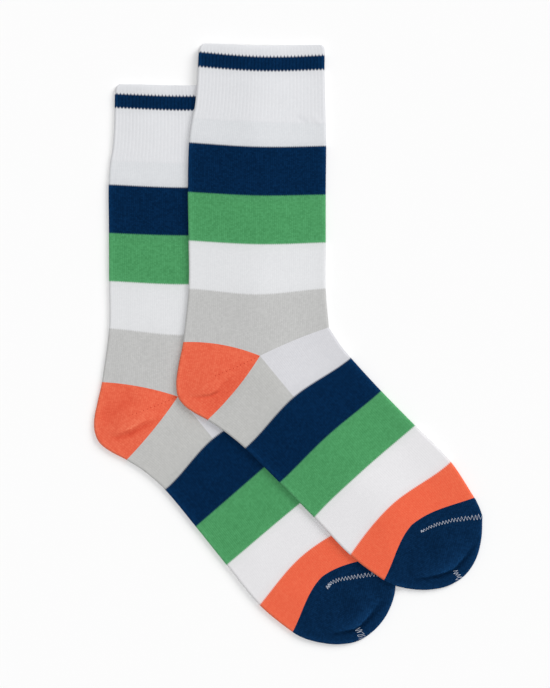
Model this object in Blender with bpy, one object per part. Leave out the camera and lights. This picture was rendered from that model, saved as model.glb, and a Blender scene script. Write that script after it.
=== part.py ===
"""A pair of crew socks laid flat on their sides, one partly over the other.

A sock is a knitted tube pressed flat: cuff, leg, heel pocket, foot and toe pocket, each a
wall of cloth round a thin hollow.  The cuff's mouth is open, and the toe is closed by a
seam across the toes.  A row of the tables is one knitted course.  It says where the course
crosses the back or sole fold, the side of the tube and the shin or instep fold.

Frame: the toes point to -Y, the cuffs to +Y, the floor is Z = 0, and the origin is the
centre of the pair's footprint.  The tables are in millimetres from the sock's gore, the
point on the side of the ankle where leg, heel and foot meet.
"""

import math
from collections import namedtuple

import bmesh
import bpy
from mathutils import Vector
from mathutils.geometry import intersect_point_line

MM = 0.001

# Cloth, in millimetres.
CUFF_WALL = 1.4  # ribbed, so it is thicker than the plain knit
LEG_WALL = 1.2
POCKET_WALL = 1.3  # heel and toe are knitted tighter
FOOT_WALL = 1.2
PRESSED = 3.4  # a sock's thickness where its two walls lie pressed together
SEAM_GAP = 0.3  # between neighbouring sections
SOCK_GAP = 0.3  # between the two socks where one lies on the other
GORE_CLEARANCE = 2.5  # the heel's wedge stops this far from the gore point
LONGEST_SPAN = 21.0  # the most that two neighbouring rings lie apart

# How the top sock comes down to the floor beside the one beneath it: how far it stays up
# past that one's edge, and how much further out it is down, at the leg and at the toe.
LEG_LEDGE, LEG_FALL = 4.0, 50.0
TOE_LEDGE, TOE_FALL = 3.0, 9.0
TOE_END, LEG_END = -165.0, -120.0  # the one changes to the other between these along Y

# A course: three points in plan, the sideways bulge of its two halves towards the toe,
# and how far the upper wall stands up from the lower one at its middle.
Course = namedtuple("Course", "back side front back_bow front_bow puff")

TOP_LEG = [
    Course((-40.4, 224.5), (1.8, 223.1), (44.2, 223.7), 0.0, 0.0, 2.2),  # mouth
    Course((-43.2, 222.6), (1.6, 221.4), (46.0, 222.1), 0.0, 0.0, 2.1),  # welt
    Course((-44.0, 218.6), (1.3, 215.0), (46.5, 216.4), 0.4, 0.4, 1.8),  # band starts
    Course((-44.6, 207.8), (1.0, 204.6), (46.4, 205.9), 0.4, 0.3, 1.3),  # band ends
    Course((-45.5, 192.2), (0.6, 189.0), (46.7, 190.2), 0.4, 0.2, 0.9),
    Course((-46.9, 178.6), (0.0, 175.4), (47.0, 175.6), 0.4, 0.2, 0.7),
    Course((-48.7, 171.0), (-0.6, 167.8), (47.2, 167.0), 0.4, 0.2, 0.6),  # rib ends
    Course((-51.0, 153.4), (-1.7, 150.3), (47.6, 151.1), 0.3, 0.3, 0.6),  # navy starts
    Course((-51.8, 117.7), (-2.1, 115.1), (47.3, 115.9), 0.2, 0.2, 0.6),  # green starts
    Course((-51.3, 82.8), (-1.6, 80.1), (47.3, 81.5), 0.3, 0.3, 0.6),  # white starts
    Course((-51.3, 48.3), (-1.9, 44.2), (47.2, 48.5), 0.3, 0.4, 0.6),  # grey starts
    Course((-55.2, 9.9), (0.0, 0.0), (49.5, 20.4), -3.0, -1.0, 0.9),  # heel starts
]
TOP_HEEL = [(-58.6, -7.0), (-60.2, -19.6), (-59.0, -29.0), (-54.5, -35.6), (-47.0, -41.0)]
TOP_FOOT = [
    Course((-37.7, -46.1), (0.0, 0.0), (49.5, 20.4), 2.0, -1.0, 0.9),  # heel ends
    Course((-24.0, -55.0), (11.6, -14.2), (57.4, 8.3), 1.0, -0.4, 0.7),
    Course((-10.4, -65.9), (24.3, -29.5), (65.3, -1.4), 0.0, 0.0, 0.6),  # navy starts
    Course((14.7, -90.6), (48.0, -58.0), (87.2, -25.3), 0.0, 0.0, 0.6),  # green starts
    Course((39.3, -115.8), (70.6, -85.4), (111.6, -50.2), -0.6, -0.2, 0.6),  # white
    Course((65.5, -142.3), (93.4, -108.1), (137.2, -76.2), -1.2, 0.0, 0.7),  # coral
    Course((89.6, -160.3), (109.0, -121.5), (154.2, -102.0), -1.2, -2.2, 0.9),  # navy
]
TOP_TOE = [
    Course((98.6, -164.9), (111.2, -124.0), (155.8, -104.6), -0.6, -2.0, 1.2),
    Course((110.0, -168.0), (112.8, -125.8), (157.0, -107.2), 0.0, -1.8, 1.4),
    Course((123.0, -168.2), (113.5, -126.5), (158.0, -109.4), 0.0, -1.7, 1.5),
    Course((136.0, -164.8), (113.5, -126.5), (158.7, -111.2), 0.0, -1.6, 1.5),
    Course((147.5, -157.0), (113.5, -126.5), (159.2, -112.7), 0.0, -1.5, 1.5),
    Course((155.2, -145.5), (113.5, -126.5), (159.6, -113.9), 0.0, -1.5, 1.5),
    Course((159.3, -131.5), (113.5, -126.5), (159.9, -114.9), 0.6, -1.4, 1.5),
    Course((160.1, -115.8), (113.5, -126.5), (160.1, -115.8), 1.4, -1.4, 1.5),  # seam
]

UNDER_LEG = [
    Course((-42.4, 224.7), (0.0, 223.9), (42.6, 224.2), 0.0, 0.0, 1.2),  # mouth
    Course((-44.8, 222.6), (0.0, 222.2), (45.0, 222.4), 0.0, 0.0, 1.2),  # welt
    Course((-45.4, 217.9), (0.0, 216.2), (45.6, 216.9), 0.2, 0.2, 1.0),  # band starts
    Course((-45.6, 207.8), (0.0, 205.9), (45.6, 206.3), 0.2, 0.2, 0.8),  # band ends
    Course((-46.1, 191.6), (0.0, 189.6), (45.8, 190.0), 0.2, 0.2, 0.5),
    Course((-47.1, 178.3), (-0.3, 176.3), (46.0, 176.8), 0.2, 0.2, 0.3),
    Course((-48.7, 169.4), (-0.6, 167.6), (46.3, 167.4), 0.2, 0.2, 0.2),  # rib ends
    Course((-49.9, 152.6), (-1.0, 150.5), (47.5, 151.0), 0.2, 0.2, 0.2),  # navy starts
    Course((-49.7, 117.6), (-1.0, 115.9), (47.5, 116.6), 0.2, 0.2, 0.2),  # green starts
    Course((-49.6, 83.0), (-1.0, 80.7), (48.0, 82.0), 0.2, 0.2, 0.2),  # white starts
    Course((-49.6, 49.0), (-1.2, 44.4), (47.5, 47.5), 0.2, 0.4, 0.3),  # grey starts
    Course((-54.7, 10.4), (0.0, 0.0), (49.5, 20.0), -1.9, -1.0, 0.6),  # heel starts
]
UNDER_HEEL = [(-57.9, -4.0), (-60.3, -16.5), (-59.8, -26.0), (-56.2, -33.6), (-48.4, -39.6)]
UNDER_FOOT = [
    Course((-37.0, -45.6), (0.0, 0.0), (49.5, 20.0), 1.3, -1.0, 0.6),  # heel ends
    Course((-24.8, -53.4), (12.2, -14.4), (57.8, 7.0), 0.6, -0.4, 0.3),
    Course((-9.4, -66.9), (25.1, -30.2), (66.0, -4.0), 0.0, 0.0, 0.2),  # navy starts
    Course((12.8, -93.6), (49.6, -61.7), (87.6, -28.6), 0.0, 0.0, 0.2),  # green starts
    Course((35.0, -121.2), (71.8, -90.0), (112.0, -56.6), 0.0, 0.0, 0.2),  # white
    Course((58.7, -150.0), (90.3, -113.7), (136.4, -85.8), -1.1, -1.4, 0.3),  # coral
    Course((82.4, -169.4), (103.6, -129.6), (150.8, -113.6), -1.7, -2.4, 0.6),  # navy
]
UNDER_TOE = [
    Course((91.6, -173.8), (105.2, -132.0), (152.3, -116.2), -0.8, -2.4, 0.8),
    Course((103.4, -177.3), (106.8, -134.4), (153.5, -118.6), 0.0, -2.4, 1.0),
    Course((116.4, -178.3), (107.5, -136.0), (154.5, -120.8), 0.0, -2.4, 1.0),
    Course((129.6, -175.8), (107.5, -136.0), (155.2, -122.7), 0.0, -2.4, 0.8),
    Course((141.6, -167.8), (107.5, -136.0), (155.8, -124.3), 0.0, -2.4, 0.5),
    Course((150.4, -156.6), (107.5, -136.0), (156.2, -125.7), 0.0, -2.4, 0.2),
    Course((155.8, -142.4), (107.5, -136.0), (156.5, -126.9), 1.0, -2.4, 0.1),
    Course((156.7, -128.0), (107.5, -136.0), (156.7, -128.0), 2.4, -2.4, 0.0),  # seam
]

# A soft crease in the upper wall: its line in plan, its height, and how far it takes to die
# away to the right and to the left of someone who walks along it.
Crease = namedtuple("Crease", "line height right left")

TOP_CREASES = [
    Crease([(-16.0, -13.0), (-29.0, -24.0), (-38.0, -27.5), (-46.0, -27.5)], 0.9, 9.0, 4.0),
    Crease([(116.0, -160.5), (130.0, -157.5), (139.0, -154.0), (156.5, -136.0)], 1.0, 4.0, 9.0),
]
UNDER_CREASES = [
    Crease([(-13.0, -14.5), (-25.0, -19.0), (-35.0, -25.0), (-44.0, -27.0)], 0.7, 7.0, 5.0),
    Crease([(111.0, -169.5), (126.0, -168.0), (133.0, -164.0), (141.5, -154.0)], 1.0, 4.0, 9.0),
]

Sock = namedtuple("Sock", "name gore leg heel foot toe creases spans puff_reach")

# puff_reach is how far round from the back fold, as a share of the half turn, the upper
# wall stands up: what the other sock lies on is pressed flat.
UNDER_SOCK = Sock(
    name="under_sock",
    gore=(-79.4, -37.8),
    leg=UNDER_LEG,
    heel=UNDER_HEEL,
    foot=UNDER_FOOT,
    toe=UNDER_TOE,
    creases=UNDER_CREASES,
    spans=7,
    puff_reach=0.5,
)
TOP_SOCK = Sock(
    name="top_sock",
    gore=(-20.4, -8.5),
    leg=TOP_LEG,
    heel=TOP_HEEL,
    foot=TOP_FOOT,
    toe=TOP_TOE,
    creases=TOP_CREASES,
    spans=9,
    puff_reach=1.0,
)

# The cuff's courses come first in a leg's table.
CUFF_COURSES = 7

FOLD_ANGLES = (0.0, 45.0, 90.0)  # the steps of a fold's round edge, for each wall

WHITE = (0.78, 0.79, 0.81, 1.0)
CORAL = (0.85, 0.15, 0.07, 1.0)
NAVY = (0.003, 0.020, 0.061, 1.0)
KNIT_ROUGHNESS = 0.9


def smooth(t):
    """Eases from 0 to 1 as t goes from 0 to 1."""
    t = min(max(t, 0.0), 1.0)
    return t * t * (3.0 - 2.0 * t)


def flat_numbers(course):
    """A course's numbers in one list, for interpolation."""
    return [*course.back, *course.side, *course.front, course.back_bow, course.front_bow, course.puff]


def as_course(numbers):
    """The course that a list of interpolated numbers stands for."""
    return Course(tuple(numbers[0:2]), tuple(numbers[2:4]), tuple(numbers[4:6]), *numbers[6:9])


def apart(a, b):
    """The larger distance between two courses, at the back fold or at the front fold."""
    return max(math.dist(a.back, b.back), math.dist(a.front, b.front), 0.01)


def between(courses, index, share):
    """The course a share of the way from one row to the next, on a smooth curve."""
    first, last = courses[index], courses[index + 1]
    before = courses[max(index - 1, 0)]
    after = courses[min(index + 2, len(courses) - 1)]
    steps = apart(before, first), apart(first, last), apart(last, after)
    made = []
    for p, a, b, n in zip(*(flat_numbers(c) for c in (before, first, last, after))):
        slope = (b - a) / steps[1]
        start = slope if index == 0 else (b - p) / (steps[0] + steps[1])
        end = slope if index + 2 == len(courses) else (n - a) / (steps[1] + steps[2])
        t = share
        made.append(
            a * (2 * t**3 - 3 * t**2 + 1)
            + b * (3 * t**2 - 2 * t**3)
            + start * steps[1] * (t**3 - 2 * t**2 + t)
            + end * steps[1] * (t**3 - t**2)
        )
    return as_course(made)


def close_courses(courses, first, last):
    """Rows first to last of a table, with courses added where rows lie far apart."""
    made = []
    for index in range(first, last):
        parts = math.ceil(apart(courses[index], courses[index + 1]) / LONGEST_SPAN)
        made += [between(courses, index, k / parts) for k in range(parts)]
    return made + [courses[last]]


def along_half(start, end, bow, share):
    """A point on half a course, which runs from start to end with a bulge of bow."""
    dx, dy = end[0] - start[0], end[1] - start[1]
    length = math.hypot(dx, dy)
    bulge = bow * 4.0 * share * (1.0 - share)
    return (
        start[0] + dx * share + dy / length * bulge,
        start[1] + dy * share - dx / length * bulge,
    )


def nearest_on(line, point):
    """The distance from a point to a line in plan, and whether it lies on the line's left."""
    nearest, on_left = math.inf, False
    for a, b in zip(line, line[1:]):
        if (b - a).length > 1e-6:
            share = intersect_point_line(point, a, b)[1]
            gap = point - a.lerp(b, min(max(share, 0.0), 1.0))
            if gap.length < nearest:
                nearest, on_left = gap.length, (b - a).cross(gap) > 0
    return nearest, on_left


def crease_height(sock, x, y):
    """How much the creases raise the upper wall at a point."""
    height = 0.0
    for crease in sock.creases:
        gap, on_left = nearest_on([Vector(p) for p in crease.line], Vector((x, y)))
        height += crease.height * math.exp(-((gap / (crease.left if on_left else crease.right)) ** 2))
    return height


def profile(sock, course, half, wall, stop=0.0):
    """Half of a ring, from the fold to the side: (x, y, top z, bottom z) for the outside
    and for the inside of the cloth.  It stops short of the side by the length stop."""
    if half == "back":
        fold, bow = course.back, course.back_bow
    else:
        fold, bow = course.front, -course.front_bow
    length = math.dist(fold, course.side)
    loops = []
    for inset, radius in ((0.0, PRESSED / 2), (wall, PRESSED / 2 - wall)):
        places = [inset + radius * (1 - math.cos(math.radians(a))) for a in FOLD_ANGLES]
        rises = [math.sin(math.radians(a)) for a in FOLD_ANGLES]
        widest = length - stop
        for k in range(1, sock.spans + 1):
            places.append(places[2] + (widest - places[2]) * k / sock.spans)
            rises.append(1.0)
        loop = []
        for place, rise in zip(places, rises):
            x, y = along_half(fold, course.side, bow, place / length)
            around = 0.5 * place / length
            if half == "front":
                around = 1.0 - around
            swell = course.puff * math.sin(math.pi * min(around / sock.puff_reach, 1.0)) ** 2
            swell += crease_height(sock, x, y)
            top = PRESSED / 2 + (radius + swell) * rise
            loop.append((x, y, top, PRESSED / 2 - radius * rise))
        loops.append(loop)
    return loops


def half_ring(rows, back_to_front):
    """The points of a half ring's upper wall, or of its lower wall, from its profile."""
    upper = [(x, y, top) for x, y, top, bottom in rows]
    lower = [(x, y, bottom) for x, y, top, bottom in rows[1:]]
    return (upper, lower) if back_to_front else (upper[::-1], lower[::-1])


def tube_ring(sock, course, wall):
    """A whole course as two closed loops of points, outside and inside.  A loop runs over
    the upper wall from the back fold to the front fold, and back along the lower wall."""
    loops = []
    back = profile(sock, course, "back", wall)
    front = profile(sock, course, "front", wall)
    for back_rows, front_rows in zip(back, front):
        back_upper, back_lower = half_ring(back_rows, True)
        front_upper, front_lower = half_ring(front_rows, False)
        over = back_upper + front_upper[1:]
        under = back_lower[:-1] + front_lower
        loops.append(over + under[::-1])
    return loops


def pocket_ring(sock, course, wall):
    """A heel course as two open lines of points, outside and inside.  A line runs from
    near the gore over the upper wall to the back fold, and back along the lower wall."""
    rows = profile(sock, course, "back", wall, stop=GORE_CLEARANCE)
    loops = []
    for loop in rows:
        upper, lower = half_ring(loop, True)
        loops.append(upper[::-1] + lower)
    return loops


def outline(sock):
    """The sock's edge in plan, round from the mouth down the back and up the front."""
    gore = Vector(sock.gore)
    leg = close_courses(sock.leg, 0, len(sock.leg) - 1)
    foot = close_courses(sock.foot + sock.toe, 0, len(sock.foot + sock.toe) - 1)
    back = [c.back for c in leg] + list(sock.heel) + [c.back for c in foot]
    front = [c.front for c in leg] + [c.front for c in foot[1:]]
    return [gore + Vector(p) for p in back + front[::-1]]


def inside(point, edge):
    """Whether a point lies within a closed edge."""
    crossings = 0
    for a, b in zip(edge, edge[1:] + edge[:1]):
        if (a.y > point.y) != (b.y > point.y):
            x = a.x + (point.y - a.y) / (b.y - a.y) * (b.x - a.x)
            crossings += x > point.x
    return crossings % 2 == 1


def distance_outside(point, edge):
    """How far a point lies outside a closed edge, or 0 within it."""
    return 0.0 if inside(point, edge) else nearest_on(edge + edge[:1], point)[0]


def lift_over(edge):
    """The height that what lies over a sock is raised by, as a function of the place."""

    def lift(point):
        share = smooth((point.y - TOE_END) / (LEG_END - TOE_END))
        ledge = TOE_LEDGE + (LEG_LEDGE - TOE_LEDGE) * share
        fall = TOE_FALL + (LEG_FALL - TOE_FALL) * share
        past = distance_outside(point, edge) - ledge
        return (PRESSED + SOCK_GAP) * (1.0 - smooth(past / fall))

    return lift


def on_floor(point):
    """No rise: the sock lies on the floor itself."""
    return 0.0


def place(sock, rings, lift):
    """Moves rings from the gore's frame to the pair's frame, and up onto what is beneath."""
    gore = Vector(sock.gore)
    placed = []
    for loops in rings:
        moved = []
        for loop in loops:
            plans = [gore + Vector(p[:2]) for p in loop]
            moved.append([Vector((*xy, p[2] + lift(xy))) for xy, p in zip(plans, loop)])
        placed.append(moved)
    return placed


def trim_ends(rings, at_start, at_end):
    """Draws a section's end rings back by half of the gap to the next section."""
    for wanted, end, neighbour in ((at_start, 0, 1), (at_end, -1, -2)):
        if wanted:
            for loop, inner_loop in zip(rings[end], rings[neighbour]):
                for point, towards in zip(loop, inner_loop):
                    point += (towards - point).normalized() * SEAM_GAP / 2


def solid(name, rings, closed_round, open_end, colour, collection):
    """Makes one wall of cloth through its rings.  closed_round says that a ring is a whole
    loop, and open_end that the last ring is a rim and isn't joined to itself."""
    mesh = bmesh.new()
    grid = [[[mesh.verts.new(p * MM) for p in loop] for loop in loops] for loops in rings]
    count = len(rings[0][0])
    steps = [(j, (j + 1) % count) for j in range(count if closed_round else count - 1)]
    for ring, following in zip(grid, grid[1:]):
        for j, k in steps:
            mesh.faces.new((ring[0][j], ring[0][k], following[0][k], following[0][j]))
            mesh.faces.new((ring[1][k], ring[1][j], following[1][j], following[1][k]))
        if not closed_round:
            for j in (0, count - 1):
                mesh.faces.new((ring[0][j], following[0][j], following[1][j], ring[1][j]))
    for ring in [grid[0]] + ([grid[-1]] if open_end else []):
        for j, k in steps:
            mesh.faces.new((ring[0][j], ring[1][j], ring[1][k], ring[0][k]))
    bmesh.ops.remove_doubles(mesh, verts=mesh.verts, dist=0.02 * MM)
    bmesh.ops.triangulate(mesh, faces=mesh.faces)
    bmesh.ops.recalc_face_normals(mesh, faces=mesh.faces)
    data = bpy.data.meshes.new(name)
    mesh.to_mesh(data)
    mesh.free()
    data.materials.append(yarn(name, colour))
    made = bpy.data.objects.new(name, data)
    collection.objects.link(made)
    data.shade_smooth()
    data.set_sharp_from_angle(angle=math.radians(40.0))
    return made


def yarn(name, colour):
    """A matt knitted cloth of one colour."""
    material = bpy.data.materials.new(name)
    material.use_nodes = True
    surface = material.node_tree.nodes["Principled BSDF"]
    surface.inputs["Base Color"].default_value = colour
    surface.inputs["Roughness"].default_value = KNIT_ROUGHNESS
    surface.inputs["Metallic"].default_value = 0.0
    return material


def heel_courses(sock):
    """The heel's courses, which fan round the gore from the leg's end to the foot's."""
    first, last = sock.leg[-1], sock.foot[0]
    made = [first]
    for index, fold in enumerate(sock.heel):
        share = (index + 1) / (len(sock.heel) + 1)
        bow = first.back_bow * (1 - share) + last.back_bow * share
        puff = first.puff + 1.0 * math.sin(math.pi * share)
        made.append(Course(fold, first.side, first.front, bow, 0.0, puff))
    return made + [last]


def make_sock(sock, lift, collection):
    """Makes a sock's five sections."""
    rib_end = CUFF_COURSES - 1
    foot = sock.foot + sock.toe
    foot_end = len(sock.foot) - 1
    sections = (
        ("cuff", close_courses(sock.leg, 0, rib_end), CUFF_WALL, WHITE),
        ("leg", close_courses(sock.leg, rib_end, len(sock.leg) - 1), LEG_WALL, WHITE),
        ("heel", heel_courses(sock), POCKET_WALL, CORAL),
        ("foot", close_courses(foot, 0, foot_end), FOOT_WALL, WHITE),
        ("toe", close_courses(foot, foot_end, len(foot) - 1), POCKET_WALL, NAVY),
    )
    for section, courses, wall, colour in sections:
        is_heel = section == "heel"
        is_toe = section == "toe"
        shape = pocket_ring if is_heel else tube_ring
        rings = place(sock, [shape(sock, c, wall) for c in courses], lift)
        trim_ends(rings, at_start=section != "cuff", at_end=not is_toe)
        name = f"{sock.name}_{section}"
        solid(name, rings, not is_heel, not is_toe, colour, collection)


def clear_scene():
    for scene_object in list(bpy.data.objects):
        bpy.data.objects.remove(scene_object, do_unlink=True)


def main():
    clear_scene()
    collection = bpy.data.collections.new("pair_of_crew_socks")
    bpy.context.scene.collection.children.link(collection)
    make_sock(UNDER_SOCK, on_floor, collection)
    make_sock(TOP_SOCK, lift_over(outline(UNDER_SOCK)), collection)


main()
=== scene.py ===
"""The looks of a pair of striped crew socks that lie flat, one partly over the other.

Each knitted section is a thin shell of cloth, an outside and an inside, on the form of its
CAD solid.  Its map called knit counts needles round the sock in U and knitted courses along
it in V, and the materials draw stitches, stripes and ribs from it.
"""

import math
import random
from collections import namedtuple

import bmesh
import bpy
import numpy as np
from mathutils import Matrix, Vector
from mathutils.bvhtree import BVHTree


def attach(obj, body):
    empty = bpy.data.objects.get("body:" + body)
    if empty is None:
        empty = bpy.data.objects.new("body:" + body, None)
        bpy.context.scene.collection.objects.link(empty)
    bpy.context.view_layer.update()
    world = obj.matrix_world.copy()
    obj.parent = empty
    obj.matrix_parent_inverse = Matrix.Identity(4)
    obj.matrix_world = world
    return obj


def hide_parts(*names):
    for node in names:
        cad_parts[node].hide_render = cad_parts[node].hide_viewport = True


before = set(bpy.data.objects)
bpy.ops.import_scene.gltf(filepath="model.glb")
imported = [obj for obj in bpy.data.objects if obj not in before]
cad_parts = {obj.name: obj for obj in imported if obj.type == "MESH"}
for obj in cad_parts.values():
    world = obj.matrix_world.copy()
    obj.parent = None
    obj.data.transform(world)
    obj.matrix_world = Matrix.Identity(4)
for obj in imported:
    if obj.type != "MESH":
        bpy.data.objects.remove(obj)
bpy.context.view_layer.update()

MM = 0.001

# -------- sizes, in millimetres
CUFF_WALL = 1.4
LEG_WALL = 1.2
POCKET_WALL = 1.3
FOOT_WALL = 1.2
PRESSED = 3.4  # a sock's thickness where its walls lie pressed together
HALF = PRESSED / 2
SOCK_GAP = 0.3
# How the top sock comes down to the floor beside the one beneath it: how far it stays up
# past that one's edge, and how much further out it is down, at the leg and at the toe.
LEG_LEDGE, LEG_FALL = 4.0, 50.0
TOE_LEDGE, TOE_FALL = 0.5, 9.0
TOE_END, LEG_END = -165.0, -120.0  # the one changes to the other between these along Y

NEEDLES = 148  # stitches round the sock
COURSE_PITCH = 0.95
RIB_DEPTH = 0.08
RIB_FADE = 5.0  # over which the ribs die out at the cuff's end
RIB_TEETH = 0.45  # how far, in courses, a colour change runs on along a rib

LEG_SPACING = 1.5
CUFF_SPACING = 2.2
POCKET_SPACING = 0.7

# -------- the knitted courses
# In plan from the gore, the point on the ankle's side where leg, heel and foot meet: where a
# course is on the back or sole fold, on the side and on the shin or instep fold, the bulge of
# its halves towards the toe, how far the upper wall stands up in its middle and halfway from
# there to the back fold, and how sharply it turns at the side.
Course = namedtuple(
    "Course", "back side front back_bow front_bow puff bulge kink", defaults=[0.0, 0.0]
)


def knitted(*rows):
    return [Course(*row) for row in rows]


TOP_LEG = knitted(
    ((-40.4, 224.5), (1.8, 223.1), (44.2, 223.7), 0, 0, 1.1),  # mouth
    ((-43.2, 222.6), (1.6, 221.4), (46, 222.1), 0, 0, 1.8),  # welt
    ((-44, 218.6), (1.3, 215), (46.5, 216.4), 0.4, 0.4, 1.8),  # band starts
    ((-44.6, 207.8), (1, 204.6), (46.4, 205.9), 0.4, 0.3, 1.3),  # band ends
    ((-45.5, 192.2), (0.6, 189), (46.7, 190.2), 0.4, 0.2, 0.9),
    ((-46.9, 178.6), (0, 175.4), (47, 175.6), 0.4, 0.2, 0.7),
    ((-48.7, 171), (-0.6, 167.8), (47.2, 167), 0.4, 0.2, 0.6),  # rib ends
    ((-51, 153.4), (-1.7, 150.3), (47.6, 151.1), 0.3, 0.3, 0.6),  # navy starts
    ((-51.8, 117.7), (-2.1, 115.1), (47.3, 115.9), 0.2, 0.2, 0.6),  # green starts
    ((-51.3, 82.8), (-1.6, 80.1), (47.3, 81.5), 0.3, 0.3, 0.6),  # white starts
    ((-51.3, 48.3), (-1.9, 44.2), (47.2, 48.5), 0.3, 0.4, 0.6),  # grey starts
    ((-55.2, 9.9), (0, 0), (49.5, 20.4), -3, -1, 0.9, 0, 1),  # heel starts
)
TOP_HEEL = [(-58.6, -7), (-60.2, -19.6), (-59, -29), (-54.5, -35.6), (-47, -41)]
TOP_FOOT = knitted(
    ((-37.7, -46.1), (0, 0), (49.5, 20.4), 2, -1, 0.9, 0, 1),  # heel ends
    ((-24.2, -55.3), (11.6, -14.2), (57.4, 8.3), 1, -0.4, 0.7, 0, 0.4),
    ((-10.8, -66.3), (24.3, -29.5), (65.3, -1.4), 0, 0, 0.6),  # navy starts
    ((14.2, -91.1), (48, -58), (87.2, -25.3), 0, 0, 0.6),  # green starts
    ((39, -116.1), (70.6, -85.4), (111.6, -50.2), -0.6, -0.2, 0.6),  # white
    ((64.8, -143.1), (93.4, -108.1), (137.2, -76.2), -1.2, 0, 0.7),  # coral
    ((89, -161.2), (109, -121.5), (154.2, -102), -1.2, -2.2, 0.9, 0, 0.35),  # navy
)
TOP_TOE = knitted(
    ((98.4, -165.5), (111.2, -124), (155.8, -104.6), -0.6, -2, 1, 0.3, 0.3),
    ((110, -168), (112.8, -125.8), (157, -107.2), 0, -1.8, 1.1, 0.6, 0.7),
    ((123, -168.2), (113.5, -126.5), (158, -109.4), 0, -1.7, 1.1, 0.8, 1),
    ((136.2, -165.2), (113.5, -126.5), (158.7, -111.2), 0, -1.6, 1.1, 0.9, 1),
    ((147.9, -157.5), (113.5, -126.5), (159.2, -112.7), 0, -1.5, 1.1, 0.8, 1),
    ((155.6, -145.8), (113.5, -126.5), (159.6, -113.9), 0, -1.5, 1.1, 0.6, 1),
    ((159.3, -131.5), (113.5, -126.5), (159.9, -114.9), 0.6, -1.4, 1.1, 0.3, 1),
    ((160.1, -115.8), (113.5, -126.5), (160.1, -115.8), 1.4, -1.4, 1.1, 0, 1),  # seam
)

# The lower sock's rows are the same courses.
UNDER_LEG = knitted(
    ((-42.4, 224.7), (0, 223.9), (42.6, 224.2), 0, 0, 0.5),
    ((-44.8, 222.6), (0, 222.2), (45, 222.4), 0, 0, 0.9),
    ((-45.4, 217.9), (0, 216.2), (45.6, 216.9), 0.2, 0.2, 1),
    ((-45.6, 207.8), (0, 205.9), (45.6, 206.3), 0.2, 0.2, 0.8),
    ((-46.1, 191.6), (0, 189.6), (45.8, 190), 0.2, 0.2, 0.5),
    ((-47.1, 178.3), (-0.3, 176.3), (46, 176.8), 0.2, 0.2, 0.3),
    ((-48.7, 169.4), (-0.6, 167.6), (46.3, 167.4), 0.2, 0.2, 0.2),
    ((-49.9, 152.6), (-1, 150.5), (47.5, 151), 0.2, 0.2, 0.2),
    ((-49.7, 117.6), (-1, 115.9), (47.5, 116.6), 0.2, 0.2, 0.2),
    ((-49.6, 83), (-1, 80.7), (48, 82), 0.2, 0.2, 0.2),
    ((-49.6, 49), (-1.2, 44.4), (47.5, 47.5), 0.2, 0.4, 0.3),
    ((-54.7, 10.4), (0, 0), (49.5, 20), -1.9, -1, 0.6, 0, 1),
)
UNDER_HEEL = [(-57.9, -4), (-60.3, -16.5), (-59.8, -26), (-56.2, -33.6), (-48.4, -39.6)]
UNDER_FOOT = knitted(
    ((-37, -45.6), (0, 0), (49.5, 20), 1.3, -1, 0.6, 0, 1),
    ((-24.8, -53.4), (12.2, -14.4), (57.8, 7), 0.6, -0.4, 0.3, 0, 0.4),
    ((-9.4, -66.9), (25.1, -30.2), (66, -4), 0, 0, 0.2),
    ((12.8, -93.6), (49.6, -61.7), (87.6, -28.6), 0, 0, 0.2),
    ((35, -121.2), (71.8, -90), (112, -56.6), 0, 0, 0.2),
    ((58.7, -150), (90.3, -113.7), (136.4, -85.8), -1.1, -1.4, 0.3),
    ((82.4, -169.4), (103.6, -129.6), (150.8, -113.6), -1.7, -2.4, 0.6, 0, 0.35),
)
UNDER_TOE = knitted(
    ((91.5, -174.2), (105.2, -132), (152.3, -116.2), -0.8, -2.4, 0.8, 0, 0.3),
    ((103.4, -177.3), (106.8, -134.4), (153.5, -118.6), 0, -2.4, 1, 0, 0.7),
    ((116.4, -178.3), (107.5, -136), (154.5, -120.8), 0, -2.4, 1.1, 0, 1),
    ((129.6, -175.8), (107.5, -136), (155.2, -122.7), 0, -2.4, 1.1, 0, 1),
    ((141.6, -167.8), (107.5, -136), (155.8, -124.3), 0, -2.4, 0.9, 0, 1),
    ((150.4, -156.6), (107.5, -136), (156.2, -125.7), 0, -2.4, 0.5, 0, 1),
    ((155.8, -142.4), (107.5, -136), (156.5, -126.9), 1, -2.4, 0.1, 0, 1),
    ((156.7, -128), (107.5, -136), (156.7, -128), 2.4, -2.4, 0, 0, 1),
)
HEEL_BULGE = 0.9  # of the heel's middle courses

# A crease or dent in the upper wall: its line in plan, with the share of its height at each
# point, its height, how far it takes to die away to the right and left of someone who walks
# along it, and the depth of the trough along the foot of its right side.
Crease = namedtuple("Crease", "line height right left trough", defaults=[0.0])

TOP_CREASES = [
    Crease(
        [(-52, -27.5, 0), (-44, -28, 0.3), (-36.5, -27.3, 0.65), (-31, -24.8, 0.65),
         (-26, -18, 0.25), (-18, -12, 0)],
        1.25, 1.1, 9, 0.5,
    ),
    Crease([(-34, -34, 0.8), (-25, -27, 1), (-14, -15, 0.6)], -0.4, 7, 7),
    Crease(
        [(110, -160, 0), (120, -159, 0.6), (129.5, -157, 1), (139.5, -152.9, 1),
         (145.9, -145.7, 0.9), (152, -137.5, 0.45), (157, -129, 0)],
        1.5, 1, 9, 0.6,
    ),
    Crease([(119, -134, 0.6), (123.5, -139, 1)], -1, 6, 6),
    Crease([(139, -127, 0.6), (150, -133, 1)], 0.7, 9, 9),
    Crease([(28, 171.5, 1), (33, 168.5, 1)], -0.25, 1.6, 1.6),
    Crease([(38, 172, 1), (43.5, 167.5, 1)], 0.3, 1.6, 1.6),
]
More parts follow.
